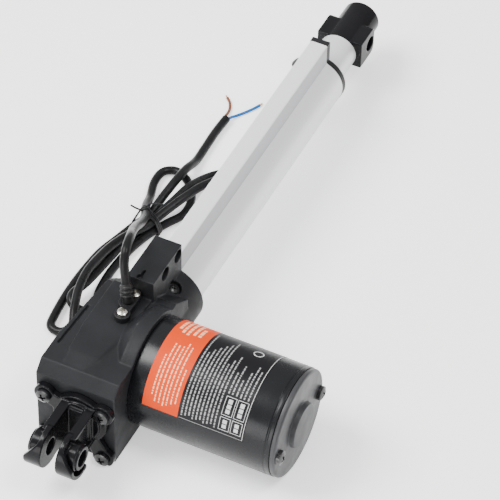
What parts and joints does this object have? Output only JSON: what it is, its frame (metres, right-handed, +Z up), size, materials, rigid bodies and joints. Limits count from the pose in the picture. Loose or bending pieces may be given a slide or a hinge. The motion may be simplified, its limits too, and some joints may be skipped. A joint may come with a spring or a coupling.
{
  "type": "electric linear actuator",
  "caption": "Electric linear actuator with a right-angle motor, a silver extruded tube, a sliding rod and pin joints at both ends, its cable folded and tied",
  "frame": {"origin": "centre of the rear clevis pin hole, on the screw axis", "axes": "+X along the screw from the rear pin to the front pin, +Y along the pins and away from the motor, +Z up, towards the cable clamp and the channel on the tube"},
  "size_m": [0.4494, 0.1962, 0.1005],
  "materials": {
    "cast_black": "fine cast texture, satin black coating",
    "gloss_black": "smooth glossy black coating",
    "satin_black": "drawn steel, smooth satin black coating",
    "end_cap_grey": "dark grey coating",
    "screw_black": "black oxide",
    "screw_steel": "dark plated steel",
    "screw_bright": "bright zinc plating",
    "plastic_black": "moulded, slightly matt",
    "rubber_black": "soft matt rubber",
    "anodised_silver": "extruded, satin silver anodised",
    "anodised_light": "drawn, satin silver anodised",
    "board_green": "printed circuit board",
    "bearing_steel": "ground steel",
    "zinc_steel": "machined steel",
    "bronze": "sintered bronze",
    "ferrite": "ferrite",
    "phenolic_brown": "phenolic sheet",
    "carbon": "carbon",
    "enamelled_copper": "enamelled copper wire",
    "nylon_white": "nylon",
    "acetal_tan": "acetal",
    "label_print": "printed label, orange band and black field",
    "cable_black": "flexible PVC sheath",
    "tie_black": "plastic-coated wire tie",
    "core_brown": "PVC insulation",
    "core_blue": "PVC insulation"
  },
  "bodies": {
    "housing": {"gear_housing": "cast_black", "rear_clevis": "gloss_black", "clevis_screws": "screw_black", "neck_screws": "screw_steel", "cable_clamp": "plastic_black", "clamp_screws": "screw_bright", "cable_grommet": "rubber_black", "outer_tube": "anodised_silver", "front_cap": "plastic_black", "rod_wiper": "rubber_black", "tube_side_plug": "plastic_black", "switch_board": "board_green", "limit_switches": "plastic_black", "bearing_outer_race": "bearing_steel", "bearing_balls": "bearing_steel", "worm_bushes": "bronze", "motor_can": "satin_black", "motor_front_plate": "zinc_steel", "motor_magnets": "ferrite", "brush_plate": "phenolic_brown", "brushes": "carbon", "motor_end_cap": "end_cap_grey", "motor_end_screws": "screw_steel", "motor_rear_bush": "bronze", "motor_label": "label_print", "cable": "cable_black", "cable_tie": "tie_black", "core_brown": "core_brown", "core_blue": "core_blue"},
    "rotor": {"motor_shaft": "bearing_steel", "motor_pinion": "zinc_steel", "armature_core": "zinc_steel", "armature_winding": "enamelled_copper", "commutator": "enamelled_copper"},
    "worm_shaft": {"worm": "bearing_steel", "worm_gear": "nylon_white"},
    "screw": {"lead_screw": "zinc_steel", "worm_wheel": "bronze", "bearing_inner_race": "bearing_steel", "screw_nut": "zinc_steel", "screw_guide": "nylon_white"},
    "rod": {"inner_tube": "anodised_light", "drive_nut": "acetal_tan", "guide_collar": "nylon_white", "rod_end": "gloss_black"}
  },
  "joints": [
    {"name": "rotor_spin", "type": "hinge", "parent": "housing", "child": "rotor", "pos_m": [0.0807, -0.07, 0.0017], "axis": [0, 1, 0], "range_deg": [0, 1069200]},
    {"name": "worm_spin", "type": "hinge", "parent": "housing", "child": "worm_shaft", "pos_m": [0.0807, 0, 0.0202], "axis": [0, 1, 0], "range_deg": [-396000, 0]},
    {"name": "screw_spin", "type": "hinge", "parent": "housing", "child": "screw", "pos_m": [0.0807, 0, 0], "axis": [1, 0, 0], "range_deg": [-18000, 0]},
    {"name": "rod_slide", "type": "slide", "parent": "housing", "child": "rod", "axis": [1, 0, 0], "range_m": [0, 0.25]}
  ],
  "couplings": [
    {"joint": "worm_spin", "follows": "rotor_spin", "ratio": -0.37037},
    {"joint": "screw_spin", "follows": "rotor_spin", "ratio": -0.016835},
    {"joint": "rod_slide", "follows": "rotor_spin", "m_per_rad": 0.000013397}
  ]
}
